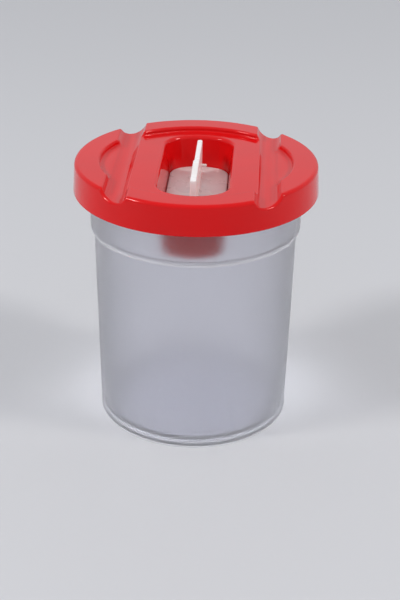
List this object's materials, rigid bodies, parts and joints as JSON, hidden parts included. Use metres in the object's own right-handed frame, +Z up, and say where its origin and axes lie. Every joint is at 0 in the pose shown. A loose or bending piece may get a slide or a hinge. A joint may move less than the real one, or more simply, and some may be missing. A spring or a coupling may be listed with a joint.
{
  "type": "paint cup",
  "caption": "Round non-spill paint cup: frosted cup, push-on lid with two brush grooves and a tapered well, and a stopper with a grip fin.",
  "frame": {"origin": "middle of the cup's foot ring, on the surface that the cup stands on", "axes": "+Z up the cup's axis; the brush grooves, the well and the stopper's fin run along Y; the front is -Y"},
  "size_m": [0.085, 0.085, 0.0959],
  "materials": {
    "frosted_cup": "milky see-through polypropylene, satin",
    "red_lid": "bright red polypropylene, glossy",
    "white_stopper": "white polypropylene, glossy"
  },
  "bodies": {
    "cup": {"cup": "frosted_cup"},
    "lid": {"lid": "red_lid"},
    "stopper": {"stopper": "white_stopper"}
  },
  "joints": [
    {"name": "lid_lift", "type": "slide", "parent": "cup", "child": "lid", "axis": [0, 0, 1], "range_m": [0, 0.035]},
    {"name": "stopper_lift", "type": "slide", "parent": "lid", "child": "stopper", "axis": [0, 0, 1], "range_m": [0, 0.035]}
  ]
}
